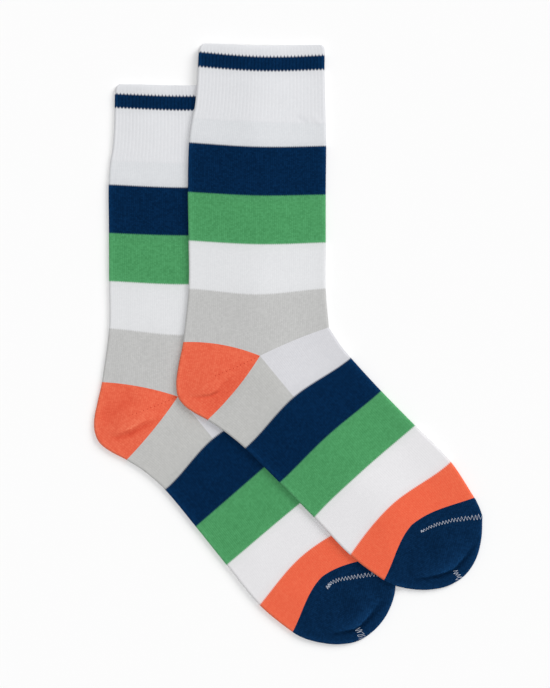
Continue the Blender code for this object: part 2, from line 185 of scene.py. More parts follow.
UNDER_CREASES = [
    Crease(
        [(-50, -26, 0), (-43, -26.2, 0.6), (-35, -23.7, 1), (-26, -18.7, 0.8),
         (-13, -13.2, 0)],
        0.75, 1.8, 8, 0.2,
    ),
    Crease([(-50, -13, 1), (-36, -3, 1)], -0.5, 6, 6),
    Crease(
        [(105, -170, 0), (112, -169.8, 0.35), (121.2, -168, 0.8), (127, -166.9, 1),
         (130.9, -164.3, 1), (134.5, -160.8, 1), (138.8, -155.7, 0.85), (143.1, -150.5, 0.5),
         (147, -143.5, 0)],
        1.6, 1.1, 9, 0.7,
    ),
    Crease([(118, -146, 0.6), (123, -151, 1)], -0.7, 8, 8),
]
HIDDEN_SHARE = 0.35  # of a crease's height, that the lower wall's own crease has

# The toe's seam: its line in plan from the inner end to the instep fold, and the turning
# points of a short second run of its thread across the rim of the toe.
TOP_SEAM = [
    (115.6, -126.4), (117.6, -125.5), (118.8, -124.9), (122.3, -123.3), (125.5, -121.7),
    (128.5, -120.9), (136.1, -118.8), (141.9, -117.7), (147.7, -117), (154.6, -116.3),
    (160, -115.9),
]
TOP_TAIL = [
    (138.7, -155.1), (142.1, -154.3), (139.2, -156.9), (142.6, -155.9), (140.7, -157.7),
    (144.2, -157.3), (141.6, -158.9), (145.6, -159.1), (142.6, -159.6), (140.8, -161.2),
    (145, -160.5),
]
UNDER_SEAM = [
    (107.2, -137.8), (109.5, -134.3), (112.9, -132.8), (116.9, -131.3), (123.7, -130.4),
    (129.8, -129.2), (136, -128.4), (143.5, -128),
]
UNDER_TAIL = [
    (131.3, -166), (127.5, -168.4), (132.6, -167.7), (128.8, -169.9), (131.8, -169),
    (133.9, -170.8), (129.3, -171.6), (130.2, -172.8), (134.2, -171.8), (134.6, -173.4),
    (131.5, -173.8), (130, -174.6),
]
SEAM_RIDGE = 0.35
SEAM_WIDTH = 1.5
RIDGE_REACH = 6.0  # over which the painted sheen along a ridge dies away
FOLD_REACH = 2.3  # and that along a fold's edge
DENT_SHADE = 0.5  # how dark a dent is, of a trough at a crease's foot
TROUGH_PLACE, TROUGH_WIDTH = 1.9, 1.2  # from the crease's line, of how far its right side goes

Sock = namedtuple(
    "Sock",
    "name gore leg heel foot toe creases seam seam_reach seam_pitch seam_play tail puff_reach",
)
UNDER_SOCK = Sock(
    name="under_sock", gore=(-79.4, -37.8), leg=UNDER_LEG, heel=UNDER_HEEL, foot=UNDER_FOOT,
    toe=UNDER_TOE, creases=UNDER_CREASES, seam=UNDER_SEAM, seam_reach=(1.3, 1.6),
    seam_pitch=1.15, seam_play=0.15, tail=UNDER_TAIL, puff_reach=0.5,
)
TOP_SOCK = Sock(
    name="top_sock", gore=(-20.4, -8.5), leg=TOP_LEG, heel=TOP_HEEL, foot=TOP_FOOT,
    toe=TOP_TOE, creases=TOP_CREASES, seam=TOP_SEAM, seam_reach=(0.85, 1.95),
    seam_pitch=1.12, seam_play=0.25, tail=TOP_TAIL, puff_reach=1.0,
)
RIB_END = 6  # the row of a leg's table where the ribs end
MITRE = {"heel": 3, "toe": 4.5}  # the row of a pocket where its courses turn


# -------- courses to rows
BACK, SIDE, FRONT = slice(0, 2), slice(2, 4), slice(4, 6)
BACK_BOW, FRONT_BOW, PUFF, BULGE, KINK, COUNT = 6, 7, 8, 9, 10, 11


def as_rows(courses):
    return np.array([[*c.back, *c.side, *c.front, *c[3:]] for c in courses])


def apart(a, b):
    return max(math.dist(a[BACK], b[BACK]), math.dist(a[FRONT], b[FRONT]), 0.01)


def knit_counts(courses):
    """How many courses are knitted from a table's first row to each of its rows."""
    rows = as_rows(courses)
    steps = [
        (math.dist(a[BACK], b[BACK]) + math.dist(a[FRONT], b[FRONT])) / 2
        for a, b in zip(rows, rows[1:])
    ]
    return np.concatenate([[0], np.cumsum(np.round(np.array(steps) / COURSE_PITCH))])


def hermite(a, b, start, end, t):
    """The cubic curve from a to b that sets off along start and arrives along end."""
    return (
        a * (2 * t**3 - 3 * t**2 + 1)
        + b * (3 * t**2 - 2 * t**3)
        + start * (t**3 - 2 * t**2 + t)
        + end * (t**3 - t**2)
    )


def fill(courses, first, last, spacing):
    """Rows on smooth curves through a table's rows first to last, and where those are."""
    table = np.column_stack([as_rows(courses), knit_counts(courses)])
    made, marks = [], [0]
    for index in range(first, last):
        before, a, b, after = (
            table[min(max(k, 0), len(table) - 1)] for k in range(index - 1, index + 3)
        )
        steps = apart(before, a), apart(a, b), apart(b, after)
        parts = math.ceil(steps[1] / spacing)
        slope = (b - a) / steps[1]
        start = slope if index == 0 else (b - before) / (steps[0] + steps[1])
        end = slope if index + 2 == len(table) else (after - a) / (steps[1] + steps[2])
        t = np.arange(parts)[:, None] / parts
        made.append(hermite(a, b, start * steps[1], end * steps[1], t))
        marks.append(marks[-1] + parts)
    return np.concatenate([*made, table[last : last + 1]]), marks


def heel_courses(sock):
    """The heel's courses fan round the gore from the leg's end to the foot's start."""
    first, last = sock.leg[-1], sock.foot[0]
    made = [first]
    for index, fold in enumerate(sock.heel):
        share = (index + 1) / (len(sock.heel) + 1)
        bow = first.back_bow * (1 - share) + last.back_bow * share
        bulge = HEEL_BULGE * math.sin(math.pi * share)
        made.append(Course(fold, first.side, first.front, bow, 0.0, first.puff, bulge, 1.0))
    return made + [last]


# -------- forms
def smooth(t):
    t = np.clip(t, 0.0, 1.0)
    return t * t * (3.0 - 2.0 * t)


def nearest_on(line, x, y, closed=False):
    """The distance of points from a line in plan, whether they lie on its left, and the
    value of the line's third column, or else 1, at its nearest point."""
    line = [(*point[:2], point[2] if len(point) > 2 else 1.0) for point in line]
    ends = line[1:] + line[:1] if closed else line[1:]
    nearest = np.full(x.shape, np.inf)
    on_left = np.zeros(x.shape, bool)
    value = np.zeros(x.shape)
    for (ax, ay, av), (bx, by, bv) in zip(line, ends):
        dx, dy = bx - ax, by - ay
        share = np.clip(((x - ax) * dx + (y - ay) * dy) / (dx * dx + dy * dy), 0.0, 1.0)
        gx, gy = x - ax - dx * share, y - ay - dy * share
        gap = np.hypot(gx, gy)
        closer = gap < nearest
        on_left = np.where(closer, dx * gy - dy * gx > 0, on_left)
        value = np.where(closer, av + (bv - av) * share, value)
        nearest = np.where(closer, gap, nearest)
    return nearest, on_left, value


def inside(edge, x, y):
    """Whether points lie within a closed edge."""
    crossings = np.zeros(x.shape, int)
    for (ax, ay), (bx, by) in zip(edge, np.roll(edge, -1, axis=0)):
        if ay != by:
            at = ax + (y - ay) / (by - ay) * (bx - ax)
            crossings += ((ay > y) != (by > y)) & (at > x)
    return crossings % 2 == 1


def crease_form(creases, x, y):
    """The creases' height at points, and from 0 to 1 how close those are to a ridge's edge,
    where the materials paint a sheen, and how deep in a trough, where they paint shade."""
    height, ridge, trough = (np.zeros(x.shape) for _ in range(3))
    for crease in creases:
        gap, on_left, share = nearest_on(crease.line, x, y)
        rise = share * np.exp(-((gap / np.where(on_left, crease.left, crease.right)) ** 2))
        height += crease.height * rise
        if crease.trough:
            bed = np.exp(-(((gap / crease.right - TROUGH_PLACE) / TROUGH_WIDTH) ** 2))
            bed = np.where(on_left, 0.0, share * bed)
            height -= crease.trough * bed
            trough = np.maximum(trough, bed)
            # the painted sheen lies along the ridge's left side
            ridge = np.maximum(ridge, np.where(on_left, share * np.exp(-gap / RIDGE_REACH), 0.0))
        elif crease.height < 0:
            # a dent gets painted shade as well
            trough = np.maximum(trough, DENT_SHADE * rise)
    return height, ridge, trough


WAVES = random.Random(5)
UNDULATION = [  # the length, direction and phase of each wave
    (WAVES.uniform(22, 60), WAVES.uniform(0, math.pi), WAVES.uniform(0, 2 * math.pi))
    for _ in range(9)
]
UNDULATION_HEIGHT = 0.05
FLAT_PUFF = 0.3  # a row that stands up less than this has lower waves too


def undulation(x, y):
    """The slight unevenness of cloth that was smoothed out by hand."""
    height = np.zeros(x.shape)
    for length, turn, phase in UNDULATION:
        along = x * math.cos(turn) + y * math.sin(turn)
        height += UNDULATION_HEIGHT * np.sin(2 * math.pi * along / length + phase)
    return height


# edge and trough say where the materials paint a sheen and shade
Half = namedtuple("Half", "x y z_upper z_lower wale edge trough")


def wale_of(place, length, angle):
    """The needle count from the fold, where angle is the turn round the fold's edge."""
    arc = np.where(angle < math.pi / 2, HALF * angle, HALF * math.pi / 2 + place - HALF)
    return NEEDLES / 4 * arc / (HALF * math.pi / 2 + length - HALF)


def plan_curve(rows, half, share):
    """Where half a row runs in plan, as shares of its length go from its fold to the side.
    Unless the row has a kink, its two halves meet at the side in one line."""
    fold, bow = (BACK, rows[:, BACK_BOW]) if half == "back" else (FRONT, -rows[:, FRONT_BOW])
    chord = rows[:, SIDE] - rows[:, fold]
    other = rows[:, FRONT if half == "back" else BACK] - rows[:, SIDE]
    both = chord / np.hypot(*chord.T)[:, None] + other / np.hypot(*other.T)[:, None]
    length = np.hypot(*chord.T)
    along = (both * chord).sum(axis=1)
    aside = both[:, 0] * chord[:, 1] - both[:, 1] * chord[:, 0]
    kink = np.clip(rows[:, KINK], 0.0, 1.0)
    turn = aside / np.maximum(along, 0.2 * length) * length
    end = (turn * (1 - kink) - 4 * bow * kink)[:, None]
    start = 8 * bow[:, None] + end
    bulge = hermite(0, 0, start, end, share) / length[:, None]
    x = rows[:, fold][:, :1] + chord[:, :1] * share + chord[:, 1:] * bulge
    y = rows[:, fold][:, 1:] + chord[:, 1:] * share - chord[:, :1] * bulge
    return x, y


def half_form(sock, rows, half, angles, shares, inset_of):
    """Half of each row, from its fold to the side, at the depth below the cloth's outside
    that inset_of gives from the needle count."""
    fold = BACK if half == "back" else FRONT
    length = np.hypot(*(rows[:, SIDE] - rows[:, fold]).T)[:, None]
    angle = np.concatenate([angles, np.full(len(shares), math.pi / 2)])[None]
    turned = HALF * (1 - np.cos(angles))[None] + 0 * length
    flat_place = HALF + (length - HALF) * shares[None]
    rough_place = np.concatenate([turned, flat_place], axis=1)
    wale = wale_of(rough_place, length, angle)
    radius = HALF - inset_of(wale if half == "back" else NEEDLES / 2 - wale)
    place = np.where(angle < math.pi / 2 - 1e-9, HALF - radius * np.cos(angle), rough_place)
    share = place / length
    x, y = plan_curve(rows, half, share)
    rise = np.sin(angle)
    around = 0.5 * share if half == "back" else 1 - 0.5 * share
    middle = np.sin(np.pi * np.minimum(around / sock.puff_reach, 1)) ** 2
    swell = rows[:, PUFF][:, None] * middle
    swell += rows[:, BULGE][:, None] * np.where(around < 0.5, np.sin(2 * np.pi * around) ** 2, 0)
    creases, ridge, trough = crease_form(sock.creases, x, y)
    waves = undulation(x, y) * middle
    swell += creases + waves * np.minimum(rows[:, PUFF][:, None] / FLAT_PUFF, 1.0)
    z_upper = HALF + (radius + swell) * rise
    hidden = HIDDEN_SHARE * np.maximum(creases, 0.0) * rise
    z_lower = HALF - radius * rise + hidden
    # where the materials paint a sheen: near a fold's edge or a crease's ridge
    edge = np.maximum(np.exp(-place / FOLD_REACH), ridge)
    return Half(x, y, z_upper, z_lower, wale, edge, trough)


def around_ring(upper_back, upper_front, lower_front, lower_back):
    """Joins halves into whole rings: over the upper wall from the back fold to the front
    fold, and back along the lower wall."""
    return np.concatenate(
        [upper_back, upper_front[:, -2::-1], lower_front[:, 1:], lower_back[:, -2:0:-1]], axis=1
    )


def around_pocket(upper_back, lower_back):
    """Joins halves into open rows: from the side to the back fold and back below it."""
    return np.concatenate([upper_back[:, ::-1], lower_back[:, 1:]], axis=1)


def place_points(sock, x, y, z, lift):
    world_x, world_y = x + sock.gore[0], y + sock.gore[1]
    return np.stack([world_x, world_y, z + lift(world_x, world_y)], axis=-1)


def on_floor(x, y):
    return np.zeros(x.shape)


def outline(sock):
    """The sock's edge in plan, in the pair's frame."""
    leg = as_rows(sock.leg)
    foot = as_rows(sock.foot + sock.toe)
    edge = [leg[:, BACK], np.array(sock.heel), foot[:, BACK]]
    edge += [foot[:0:-1, FRONT], leg[::-1, FRONT]]
    edge = np.concatenate(edge) + np.array(sock.gore)
    return edge[np.hypot(*(edge - np.roll(edge, 1, axis=0)).T) > 1e-6]


def over(sock):
    """What lies over a sock is raised by its thickness, and comes down beside it."""
    edge = outline(sock)

    def lift(x, y):
        gap = np.where(inside(edge, x, y), 0.0, nearest_on(edge, x, y, closed=True)[0])
        share = smooth((y - TOE_END) / (LEG_END - TOE_END))
        ledge = TOE_LEDGE + (LEG_LEDGE - TOE_LEDGE) * share
        fall = TOE_FALL + (LEG_FALL - TOE_FALL) * share
        return (PRESSED + SOCK_GAP) * (1 - smooth((gap - ledge) / fall))

    return lift


# -------- the knit's map
def grain(reference, half, x, y):
    """The needle count from the fold and the courses past a reference row, at points of a
    pocket whose wales run straight on from that row."""
    fold, bow, towards_toe = (
        (BACK, reference[BACK_BOW], 1) if half == "back" else (FRONT, reference[FRONT_BOW], -1)
    )
    start = reference[fold]
    chord = reference[SIDE] - start
    length = math.hypot(*chord)
    dx, dy = chord / length
    along = ((x - start[0]) * dx + (y - start[1]) * dy) / length
    across = towards_toe * ((x - start[0]) * dy - (y - start[1]) * dx)
    across -= bow * 4 * along * (1 - along)
    return NEEDLES / 4 * along, across / COURSE_PITCH


def corners(grids, parts=None):
    """The map at each face's four corners, from the grid of the part that the face is in."""
    stack = np.stack(grids)
    if parts is None:
        parts = np.zeros((stack.shape[1] - 1, stack.shape[2] - 1), int)
    i, j = np.meshgrid(np.arange(parts.shape[0]), np.arange(parts.shape[1]), indexing="ij")
    around = ((0, 0), (0, 1), (1, 1), (1, 0))
    return np.stack([stack[parts, i + a, j + b] for a, b in around], axis=2)


SAME_POINT = 0.01
SHARP_EDGE = 62  # degrees


def new_object(name, data):
    made = bpy.data.objects.new(name, data)
    bpy.context.scene.collection.objects.link(made)
    return made


def ringed(grid):
    """A grid with its first column again at its end."""
    return np.concatenate([grid, grid[:, :1]], axis=1)


def shell(name, outer, inner, maps, closed, open_end):
    """Makes the cloth between two grids of points.  maps gives the UV of each face's corners
    by map name."""
    rows, columns = outer.shape[:2]
    number = np.arange(rows * columns).reshape(rows, columns)
    wrapped = ringed(number) if closed else number
    above, below = wrapped[:-1], wrapped[1:]
    quads = np.stack([above[:, :-1], above[:, 1:], below[:, 1:], below[:, :-1]], axis=2)
    inside_start = rows * columns
    faces = [quads.reshape(-1, 4), quads.reshape(-1, 4) + inside_start]
    picks = [np.arange(quads.size // 4)] * 2
    face_number = np.arange(quads.size // 4).reshape(quads.shape[:2])
    for row, wanted in ((0, True), (rows - 1, open_end)):
        if wanted:
            a, b = wrapped[row, :-1], wrapped[row, 1:]
            faces.append(np.stack([a, b, b + inside_start, a + inside_start], axis=1))
            picks.append(face_number[min(row, rows - 2)])
    faces = np.concatenate(faces)
    picks = np.concatenate(picks)
    points = np.concatenate([outer.reshape(-1, 3), inner.reshape(-1, 3)]) * MM
    data = bpy.data.meshes.new(name)
    data.from_pydata(points.tolist(), [], faces.tolist())
    for map_name, uv in maps.items():
        layer = data.uv_layers.new(name=map_name)
        layer.data.foreach_set("uv", uv.reshape(-1, 8)[picks].ravel())
    mesh = bmesh.new()
    mesh.from_mesh(data)
    bmesh.ops.remove_doubles(mesh, verts=mesh.verts, dist=SAME_POINT * MM)
    bmesh.ops.recalc_face_normals(mesh, faces=mesh.faces)
    mesh.to_mesh(data)
    mesh.free()
    data.set_sharp_from_angle(angle=math.radians(SHARP_EDGE))
    data.shade_smooth()
    return new_object(data.name, data)


# -------- the sections
FOLD_ANGLES = np.linspace(0, math.pi / 2, 8)
RIB_ANGLES = np.linspace(0, math.pi / 2, 19)
LEG_SHARES = np.linspace(0, 1, 34)[1:] ** 1.3  # closer together near the folds
POCKET_SHARES = np.linspace(0, 1, 58)[1:] ** 1.1
CUFF_SHARES = np.linspace(0, 1, 136)[1:]
MOUTH_ROWS = (0.0, 0.08, 0.25, 0.5, 1.0)  # as shares of half the wall


def tube(
    sock, name, rows, wall, lift, angles, shares, rib=None, rim=None, maps=None, open_end=True
):
    """A closed section.  rib gives the ribs' depth from the needle count, and rim how much
    the cloth's edge is rounded off, row by row."""
    rib = rib or (lambda wale: np.zeros(wale.shape))
    rim = np.zeros((len(rows), 1)) if rim is None else rim
    surfaces = []
    for depth, ribbed in ((rim, (wall - 2 * rim) / wall), (wall - rim, 0.0)):
        b, f = (
            half_form(sock, rows, half, angles, shares, lambda wale: rib(wale) * ribbed + depth)
            for half in ("back", "front")
        )
        ring = Half(*(around_ring(back, front, front, back) for back, front in zip(b, f)))
        z = around_ring(b.z_upper, f.z_upper, f.z_lower, b.z_lower)
        surfaces.append(place_points(sock, ring.x, ring.y, z, lift))
        if depth is rim:
            folds = ringed(np.stack([ring.edge, ring.trough], axis=-1))
    counts = NEEDLES / 2 - f.wale
    wale = around_ring(b.wale, counts, NEEDLES - counts, NEEDLES - b.wale)
    wale = np.concatenate([wale, np.full((len(rows), 1), float(NEEDLES))], axis=1)
    if maps is None:
        course = np.repeat(rows[:, COUNT][:, None], wale.shape[1], axis=1)
        maps = {"knit": corners([np.stack([wale, course], axis=-1)])}
    else:
        maps = maps(surfaces[0])
    # The folds map tells the materials where to paint a sheen and shade.
    maps["folds"] = corners([folds])
    return shell(name, *surfaces, maps, closed=True, open_end=open_end)


def make_cuff(sock, lift):
    rows, _ = fill(sock.leg, 0, RIB_END, CUFF_SPACING)
    # The mouth's edge is rounded, so its first rows lie close together.
    first, second = rows[0], rows[1]
    edge = CUFF_WALL / 2
    near = np.array(MOUTH_ROWS) * edge
    fine = first + (second - first) * (near / apart(first, second))[:, None]
    rows = np.concatenate([fine, rows[1:]])
    from_mouth = np.concatenate([near, np.full(len(rows) - len(near), edge)])
    rim = (edge - np.sqrt(edge**2 - (edge - from_mouth) ** 2))[:, None]
    to_end = (rows[-1, COUNT] - rows[:, COUNT])[:, None] * COURSE_PITCH
    strength = RIB_DEPTH * smooth(to_end / RIB_FADE)

    def rib(wale):
        return strength * (0.5 - 0.5 * np.cos(np.pi * wale))

    name = f"{sock.name}_cuff_rib"
    return tube(sock, name, rows, CUFF_WALL, lift, RIB_ANGLES, CUFF_SHARES, rib=rib, rim=rim)


def make_leg(sock, lift):
    rows, _ = fill(sock.leg, RIB_END, len(sock.leg) - 1, LEG_SPACING)
    return tube(sock, f"{sock.name}_leg_knit", rows, LEG_WALL, lift, FOLD_ANGLES, LEG_SHARES)


def make_foot(sock, lift):
    rows, _ = fill(sock.foot + sock.toe, 0, len(sock.foot) - 1, LEG_SPACING)
    return tube(sock, f"{sock.name}_foot_knit", rows, FOOT_WALL, lift, FOLD_ANGLES, LEG_SHARES)


def mitre_map(x, y, fold):
    """Millimetres along and across the line from the gore to the fold, where the heel's
    courses turn."""
    dx, dy = np.array(fold) / math.hypot(*fold)
    return np.stack([x * dx + y * dy, x * dy - y * dx], axis=-1)


def make_toe(sock, lift):
    courses = sock.foot + sock.toe
    first = len(sock.foot) - 1
    rows, marks = fill(courses, first, len(courses) - 1, POCKET_SPACING)
    start, seam = as_rows(courses)[first], as_rows(courses)[-1]
    turn = round(np.interp(MITRE["toe"], range(len(marks)), marks))
    ridge = Crease([(x, y, 1.0) for x, y in sock.seam], SEAM_RIDGE, SEAM_WIDTH, SEAM_WIDTH)
    sock = sock._replace(creases=[*sock.creases, ridge])

    def maps(outer):
        x, y = (ringed(outer)[..., k] - sock.gore[k] for k in (0, 1))
        columns = np.arange(x.shape[1])
        below = columns > x.shape[1] // 2
        grids = []
        for reference, half in ((start, "back"), (seam, "back"), (start, "front")):
            needles, across = grain(reference, half, x, y)
            if half == "front":
                needles = NEEDLES / 2 - needles
            grids.append(np.stack([np.where(below, NEEDLES - needles, needles), across], axis=-1))
        quarter = (x.shape[1] - 1) // 4
        in_front = (columns[:-1] >= quarter) & (columns[:-1] < 3 * quarter)
        past = np.arange(len(outer) - 1)[:, None] >= turn
        parts = np.where(in_front[None], 2, past.astype(int))
        return {"knit": corners(grids, parts)}

    return tube(
        sock, f"{sock.name}_toe_knit", rows, POCKET_WALL, lift, FOLD_ANGLES, POCKET_SHARES,
        maps=maps, open_end=False,
    )


def make_heel(sock, lift):
    # The neighbouring rows only bend the fold's line, so that it runs on smoothly.
    courses = heel_courses(sock)
    before = courses[0]._replace(back=sock.leg[-2].back)
    after = courses[-1]._replace(back=sock.foot[1].back)
    courses = [before, *courses, after]
    rows, marks = fill(courses, 1, len(courses) - 2, POCKET_SPACING)
    surfaces = []
    for depth in (POCKET_WALL, 0.0):
        half = half_form(sock, rows, "back", FOLD_ANGLES, POCKET_SHARES, lambda wale: depth)
        row = Half(*(around_pocket(value, value) for value in half))
        z = around_pocket(half.z_upper, half.z_lower)
        surfaces.append(place_points(sock, row.x, row.y, z, lift))
    inner, outer = surfaces
    x, y = row.x, row.y
    below = np.arange(x.shape[1]) > x.shape[1] // 2
    grids = []
    for reference in (as_rows(sock.leg)[-1], as_rows(sock.foot)[0]):
        needles, across = grain(reference, "back", x, y)
        grids.append(np.stack([np.where(below, -needles, needles), across], axis=-1))
    past = np.arange(len(x) - 1)[:, None] >= marks[MITRE["heel"]]
    parts = np.repeat(past.astype(int), x.shape[1] - 1, axis=1)
    line = mitre_map(x, y, sock.heel[MITRE["heel"] - 1])
    # As in a tube, the folds map tells the materials where to paint a sheen and shade.
    maps = {
        "knit": corners(grids, parts),
        "mitre": corners([line]),
        "folds": corners([np.stack([row.edge, row.trough], axis=-1)]),
    }
    return shell(f"{sock.name}_heel_knit", outer, inner, maps, closed=False, open_end=True)


# -------- the seam's thread
THREAD_RADIUS = 0.14
THREAD_SIDES = 6
SEAM_GROWTH = 0.15  # how much wider the stitches are at its end, and narrower at its start
KNOT_PITCH, KNOT_REACH, KNOT_PLAY = 0.8, 0.8, 0.2  # at its start, reaching less than the rest
THREAD_TURN = 0.3  # how round the thread's turns are
TURN_STEPS = 5
SINK, SINK_BELOW = 0.05, 0.12  # into the cloth, and below, where the sock's weight presses on it
DROP = 0.05  # metres from the floor, from where the thread is laid on the cloth


def zigzag(line, pitch, reach, play, dice):
    """A thread's turning points from side to side of a line in plan, uneven by about play,
    and further apart towards its end."""
    line = np.asarray(line, float)
    lengths = np.hypot(*np.diff(line, axis=0).T)
    total = lengths.sum()
    stops = np.linspace(0, 1, max(round(total / pitch), 1) + 1)
    stops = total * stops * (1 - SEAM_GROWTH + SEAM_GROWTH * stops)
    reached = np.concatenate([[0], np.cumsum(lengths)])
    points = np.stack([np.interp(stops, reached, line[:, k]) for k in (0, 1)], axis=1)
    ways = np.gradient(points, axis=0)
    ways /= np.hypot(*ways.T)[:, None]
    made = []
    for k, (point, way, share) in enumerate(zip(points, ways, stops / total)):
        normal = np.array([-way[1], way[0]])
        side = reach[0] * (1 - share) + reach[1] * share
        side *= (1 if k % 2 else -1) * dice.uniform(1 - play, 1 + play / 2)
        made.append(point + normal * side + way * dice.uniform(-play, play))
    return made


def rounded(points):
    """A curve through points that turns tightly at each."""
    points = [np.asarray(point, float) for point in (points[0], *points, points[-1])]
    made = []
    for a, b, c, d in zip(points, points[1:], points[2:], points[3:]):
        for t in np.arange(TURN_STEPS) / TURN_STEPS:
            made.append(hermite(b, c, (c - a) * THREAD_TURN, (d - b) * THREAD_TURN, t))
    return [*made, points[-1]]


def lay_on(tree, gore, points, sink, up=1):
    """Points in metres where a thread with these turning points lies on a piece of cloth, or
    below it where up is -1."""
    laid = []
    for x, y in rounded(points):
        start = Vector(((x + gore[0]) * MM, (y + gore[1]) * MM, DROP * up))
        hit = tree.ray_cast(start, Vector((0, 0, -up)))[0]
        if hit is not None:
            laid.append(hit - Vector((0, 0, sink * MM * up)))
    return laid


def round_threads(paths):
    """The corners and faces of round threads along paths."""
    verts, faces, sides = [], [], THREAD_SIDES
    for path in paths:
        start = len(verts)
        for k, point in enumerate(path):
            way = (path[min(k + 1, len(path) - 1)] - path[max(k - 1, 0)]).normalized()
            across = way.cross(Vector((0, 0, 1))).normalized()
            up = across.cross(way)
            radius = THREAD_RADIUS * MM * (0.5 if k in (0, len(path) - 1) else 1.0)
            for s in range(sides):
                turn = 2 * math.pi * s / sides
                verts.append(point + (across * math.cos(turn) + up * math.sin(turn)) * radius)
        for k in range(len(path) - 1):
            for s in range(sides):
                a, b = start + k * sides + s, start + k * sides + (s + 1) % sides
                faces.append((a, b, b + sides, a + sides))
        faces.append(tuple(start + s for s in range(sides))[::-1])
        faces.append(tuple(start + (len(path) - 1) * sides + s for s in range(sides)))
    return verts, faces


def make_thread(sock, toe, seed):
    """The zigzag thread of the toe's seam, on both sides of the sock, and its second run."""
    dice = random.Random(seed)
    tree = BVHTree.FromPolygons(
        [v.co for v in toe.data.vertices], [tuple(p.vertices) for p in toe.data.polygons]
    )
    paths = []
    for sink, up in ((SINK, 1), (SINK_BELOW, -1)):
        line = zigzag(sock.seam, sock.seam_pitch, sock.seam_reach, sock.seam_play, dice)
        paths.append(lay_on(tree, sock.gore, line, sink, up))
    reach = sock.seam_reach[0] * KNOT_REACH
    knot = zigzag(sock.seam[:2], KNOT_PITCH, (reach, reach), KNOT_PLAY, dice)
    paths.append(lay_on(tree, sock.gore, knot, 0.0))
    paths.append(lay_on(tree, sock.gore, sock.tail, SINK))
    verts, faces = round_threads(paths)
    data = bpy.data.meshes.new(f"{sock.name}_toe_seam_thread")
    data.from_pydata(verts, [], faces)
    data.shade_smooth()
    return new_object(data.name, data)


# -------- materials
def linear(*steps):
    """A colour named in sRGB steps of 0 to 255, as light."""
    steps = (c / 255 for c in steps)
    return tuple(c / 12.92 if c < 0.04045 else ((c + 0.055) / 1.055) ** 2.4 for c in steps)


WHITE = linear(218, 219, 222)
COOL_WHITE = linear(214, 216, 219)
SHADED_WHITE = linear(208, 208, 212)
LEG_WHITE = linear(219, 220, 222)
FOOT_WHITE = linear(223, 222, 224)
GREY = linear(188, 188, 186)
LEG_GREY = linear(189, 189, 188)
NAVY = linear(8, 39, 73)
TOE_NAVY = linear(11, 41, 74)
GREEN = linear(79, 153, 99)
CORAL = linear(231, 105, 75)
HEEL_CORAL = linear(228, 106, 78)
THREAD = linear(200, 206, 217)
ONE = (1.0, 1.0, 1.0)


class Tree:
    """Makes a material, adds nodes to it and links their inputs."""

    def __init__(self, name):
        self.material = bpy.data.materials.new(name)
        self.material.use_nodes = True
        self.tree = self.material.node_tree

    def set(self, socket, value):
        if isinstance(value, bpy.types.NodeSocket):
            self.tree.links.new(value, socket)
        else:
            socket.default_value = value

    def node(self, kind, inputs=(), **settings):
        """A new node's outputs."""
        made = self.tree.nodes.new("ShaderNode" + kind)
        for name, value in settings.items():
            setattr(made, name, value)
        for key, value in dict(inputs).items():
            self.set(made.inputs[key], value)
        return made.outputs

    def math(self, operation, *values):
        return self.node("Math", enumerate(values), operation=operation)[0]

    def vector(self, operation, *values):
        return self.node("VectorMath", enumerate(values), operation=operation)[0]

    def times(self, first, *others):
        for value in others:
            first = self.math("MULTIPLY", first, value)
        return first

    def squared(self, value):
        return self.math("MULTIPLY", value, value)

    def line(self, value, slope, start):
        return self.math("MULTIPLY_ADD", value, slope, start)

    def less(self, value, whole=1.0):
        """What is left of the whole."""
        return self.math("SUBTRACT", whole, value)

    def ramp(self, value, start, end, low=0.0, high=1.0, kind="LINEAR"):
        """Goes from low to high as the value goes from start to end."""
        inputs = enumerate((value, start, end, low, high))
        return self.node("MapRange", inputs, interpolation_type=kind)[0]

    def mix(self, factor, a, b):
        return self.node("Mix", {0: factor, 4: a, 5: b}, data_type="VECTOR")[1]

    def scaled(self, colour, factor):
        return self.node("VectorMath", {0: colour, 3: factor}, operation="SCALE")[0]

    def joined(self, x, y, z=0.0):
        return self.node("CombineXYZ", {0: x, 1: y, 2: z})[0]

    def parts(self, vector):
        return self.node("SeparateXYZ", {0: vector})

    def uv(self, name):
        return self.parts(self.node("UVMap", uv_map=name)[0])

    def place(self):
        return self.node("TexCoord")["Object"]

    def noise(self, place, scale, detail=2.0, **settings):
        inputs = {"Vector": place, "Scale": scale, "Detail": detail}
        return self.node("TexNoise", inputs, **settings)[0]

    def surface(self, inputs):
        """Sets the material's surface, and gives the material."""
        for name, value in inputs.items():
            self.set(self.tree.nodes["Principled BSDF"].inputs[name], value)
        return self.material


Stitches = namedtuple("Stitches", "height wale number lean course needle")
LEAN = 1.2  # how many courses a stitch's leg climbs over a wale's width
LEG_PLACE, LEG_SHARPNESS = 0.17, 3.0  # a leg's ridge, in wales from the stitch's middle


def stitches(tree, teeth=0.0):
    """The V stitches of plain knit at a point: the yarn's height from 0 to 1, the wale, the
    number of the course that the yarn belongs to, and that number before it is rounded."""
    needle, course, _ = tree.uv("knit")
    if teeth:
        course = tree.line(tree.math("COSINE", tree.times(needle, math.pi)), teeth, course)
    middle = tree.math("ABSOLUTE", tree.math("SUBTRACT", tree.math("FRACT", needle), 0.5))
    off_leg = tree.times(tree.math("SUBTRACT", middle, LEG_PLACE), LEG_SHARPNESS)
    leg = tree.less(tree.squared(off_leg))
    lean = tree.line(middle, LEAN, tree.math("SUBTRACT", course, 0.5 + LEAN / 4))
    wave = tree.math("COSINE", tree.times(lean, 2 * math.pi))
    height = tree.times(leg, tree.line(wave, 0.25, 0.75))
    wale, number = tree.math("FLOOR", needle), tree.math("ROUND", lean)
    return Stitches(height, wale, number, lean, course, needle)


FUZZY_EDGE = 0.6  # how many courses to each side of a colour change its yarns' fibres reach
GLOW = 0.2  # how much of the light that bounces between yarns comes from those further off
GLOW_REACH = 8.0  # how many courses off those are


